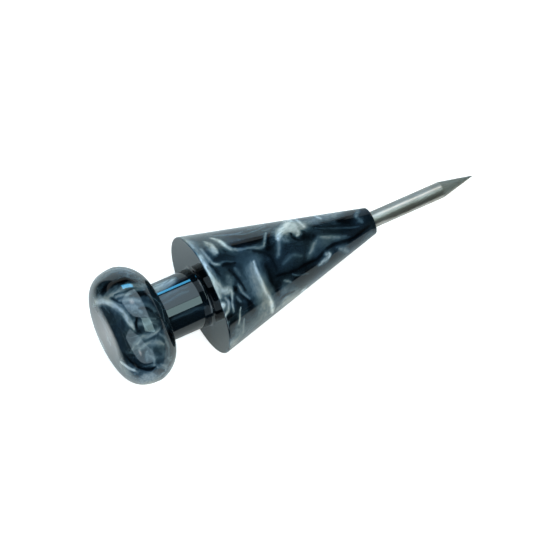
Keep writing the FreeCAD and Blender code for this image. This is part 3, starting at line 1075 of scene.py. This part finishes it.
def pin_lamp():
    """A thin lamp along the pin and close to it, to the side that is up in the picture."""
    towards = (to_camera - awl_axis * to_camera.dot(awl_axis)).normalized()
    beside = towards.cross(awl_axis)
    mirrored = towards * math.cos(PIN_LAMP_TURN) + beside * math.sin(PIN_LAMP_TURN)
    centre = in_frame((CONE_NOSE + SHANK_END) / 2, 0, 0)
    centre += mirrored * PIN_LAMP_DISTANCE + awl_axis * PIN_LAMP_SHIFT
    length = awl_axis * PIN_LAMP_HALF_LENGTH
    width = awl_axis.cross(mirrored).normalized() * PIN_LAMP_HALF_WIDTH
    near_edge = centre - width
    far_edge = centre + width
    corners = [near_edge - length, near_edge + length, far_edge + length, far_edge - length]
    stage_face("pin_lamp", corners, glowing_material("pin_lamp", (1.0, 0.93, 0.84), 3.6), glossy_only=True)


# ---- Stage: lights. A direction is (right, up, towards the viewer) in the picture ----

LIGHT_DISTANCE = 0.65
LIGHT_TARGET = Vector((-10, 0, 17)) * MM
LAMP_DISTANCE = 0.7 * LIGHT_DISTANCE
LAMP_SIZE = 0.06
LAMP_GLOW = 6.0
VIOLET_GREY = (0.66, 0.87, 1.0)
GREEN_GREY = (0.66, 0.97, 1.0)
WINDOW_BLUE = (0.10, 0.56, 1.0)
WINDOW_DISTANCE = 0.9
WINDOW_SIDES = (64, 88)
WINDOW_BOTTOM = 17
WINDOW_TOP = 26


def direction(right, up, near):
    return (picture_right * right + picture_up * up + to_camera * near).normalized()


def mirrored_in_knob(distance, angle):
    """The direction that shows mirrored in the knob at a place given as in KNOB_STROKES."""
    outline = np.array(knob_outline())
    reach = distance_over(outline)
    ends = (distance - FINE_STEP, distance + FINE_STEP)
    forward, outward = (np.diff(np.interp(ends, reach, outline[:, n]))[0] for n in (0, 1))
    turn = math.radians(angle + PATTERN_TURN)
    radial = side_axis * math.sin(turn) + up_axis * math.cos(turn)
    normal = (radial * forward - awl_axis * outward).normalized()
    return normal * 2 * normal.dot(to_camera) - to_camera


def fan_light(name, rim, colour, glow, lamp=None):
    """A lit panel seen in the given directions. It only shows in reflections and lights the awl.
    A lamp is the direction of the bright lamp in the middle of an umbrella."""
    corners = [LIGHT_TARGET + towards * LIGHT_DISTANCE for towards in rim]
    stage_face(name, corners, glowing_material(name, colour, glow), hidden=True)
    if lamp:
        across = lamp.orthogonal().normalized()
        along = lamp.cross(across)
        centre = LIGHT_TARGET + lamp * LAMP_DISTANCE
        soft_glow(f"{name}_lamp", centre, across * LAMP_SIZE, along * LAMP_SIZE, WHITE, LAMP_GLOW)


def hang_window():
    """A blue window low behind the awl."""
    left, right = WINDOW_SIDES
    rim = [(left, WINDOW_BOTTOM), (right, WINDOW_BOTTOM), (right, WINDOW_TOP), (left, WINDOW_TOP)]
    corners = [LIGHT_TARGET + sky_direction(*corner) * WINDOW_DISTANCE for corner in rim]
    stage_face("window", corners, glowing_material("window", WINDOW_BLUE, 13.0), hidden=True)


def hang_key_light():
    """Broad soft light from above, which doesn't show in reflections."""
    sun = bpy.data.lights.new("key", "SUN")
    sun.energy = 0.8
    sun.angle = math.radians(70)
    holder = new_object("key", sun)
    holder.rotation_euler = Vector((0.15, -0.2, 1)).to_track_quat("Z", "Y").to_euler()
    holder.visible_glossy = False


def light_the_room():
    """A dark room in reflections and for light, but a pale backdrop to the camera."""
    world = bpy.data.worlds.new("room")
    world.use_nodes = True
    tree = world.node_tree
    backdrop = new_node(tree, "ShaderNodeBackground", {"Color": (*WHITE, 1), "Strength": 1.0})
    dark = tree.nodes["Background"]
    fill_inputs(tree, dark, {"Color": (0.7, 0.8, 1.0, 1), "Strength": 0.03})
    pale = backdrop.outputs["Background"]
    shown = mixed_shaders(tree, is_camera_ray(tree), dark.outputs["Background"], pale)
    fill_inputs(tree, tree.nodes["World Output"], {"Surface": shown})
    bpy.context.scene.world = world
    bpy.context.scene.view_settings.view_transform = "Standard"


lay_floor()
hang_key_light()

# The paper curls up behind the awl, and only its low rise shows in reflections
upright_card("sweep", -1.2, 1.2, 0.35, 0.06, (0.92, 0.98, 0.97), 0.42)
# Close behind the pin, to keep the window out of it
upright_card("grey_card", 0.028, 0.064, 0.012, 0.017, (0.42, 0.52, 0.58), 1.0)
pin_lamp()
# On the pin's other side, to darken its lower third
upright_card("dark_pin_card", 0.034, 0.075, -0.014, 0.044, (0.75, 0.85, 0.8), 0.08)
# A pale patch of floor under the knob's end
soft_glow(
    "end_glow", Vector((-68, 5, 0.6)) * MM, Vector((9, 0, 0)) * MM, Vector((0, 12, 0)) * MM,
    WHITE, 0.62,
)

low_side = Vector((-picture_up.x, -picture_up.y, 0)).normalized()
dark_card("dark_card_low", low_side, picture_right, near=0.080, fade=0.014, far=1.2, half_width=1.2)
dark_card(
    "dark_card_left", Vector((-1, 0, 0)), Vector((0, 1, 0)),
    near=0.0685, fade=0.011, far=1.2, half_width=0.9,
)

fan_light("softbox", [direction(*d) for d in (
    (0.26, -0.24, 0.94), (0.66, -0.24, 0.72), (0.52, 0.19, 0.83), (0.16, 0.19, 0.97),
)], GREEN_GREY, 4.8)
fan_light("umbrella_above", [direction(*d) for d in (
    (-0.62, 0.47, 0.64), (-0.44, 0.70, 0.56), (-0.16, 0.90, 0.40), (0.06, 0.94, 0.34),
    (0.26, 0.80, 0.54), (0.40, 0.52, 0.76), (0.48, 0.21, 0.85), (0.14, 0.20, 0.97),
    (-0.19, 0.18, 0.96), (-0.45, 0.28, 0.85),
)], VIOLET_GREY, 3.1, lamp=direction(-0.18, 0.64, 0.75))
# This one is where the knob's end mirrors it
fan_light("umbrella_below", [mirrored_in_knob(*place) for place in (
    (16.5, -2), (14, -10), (12.2, -25), (13, -40), (14, -44), (16, -49), (19, -50), (20, -45),
    (20, -30), (18, -12),
)], VIOLET_GREY, 2.4, lamp=direction(-0.28, -0.84, 0.46))
hang_window()
light_the_room()
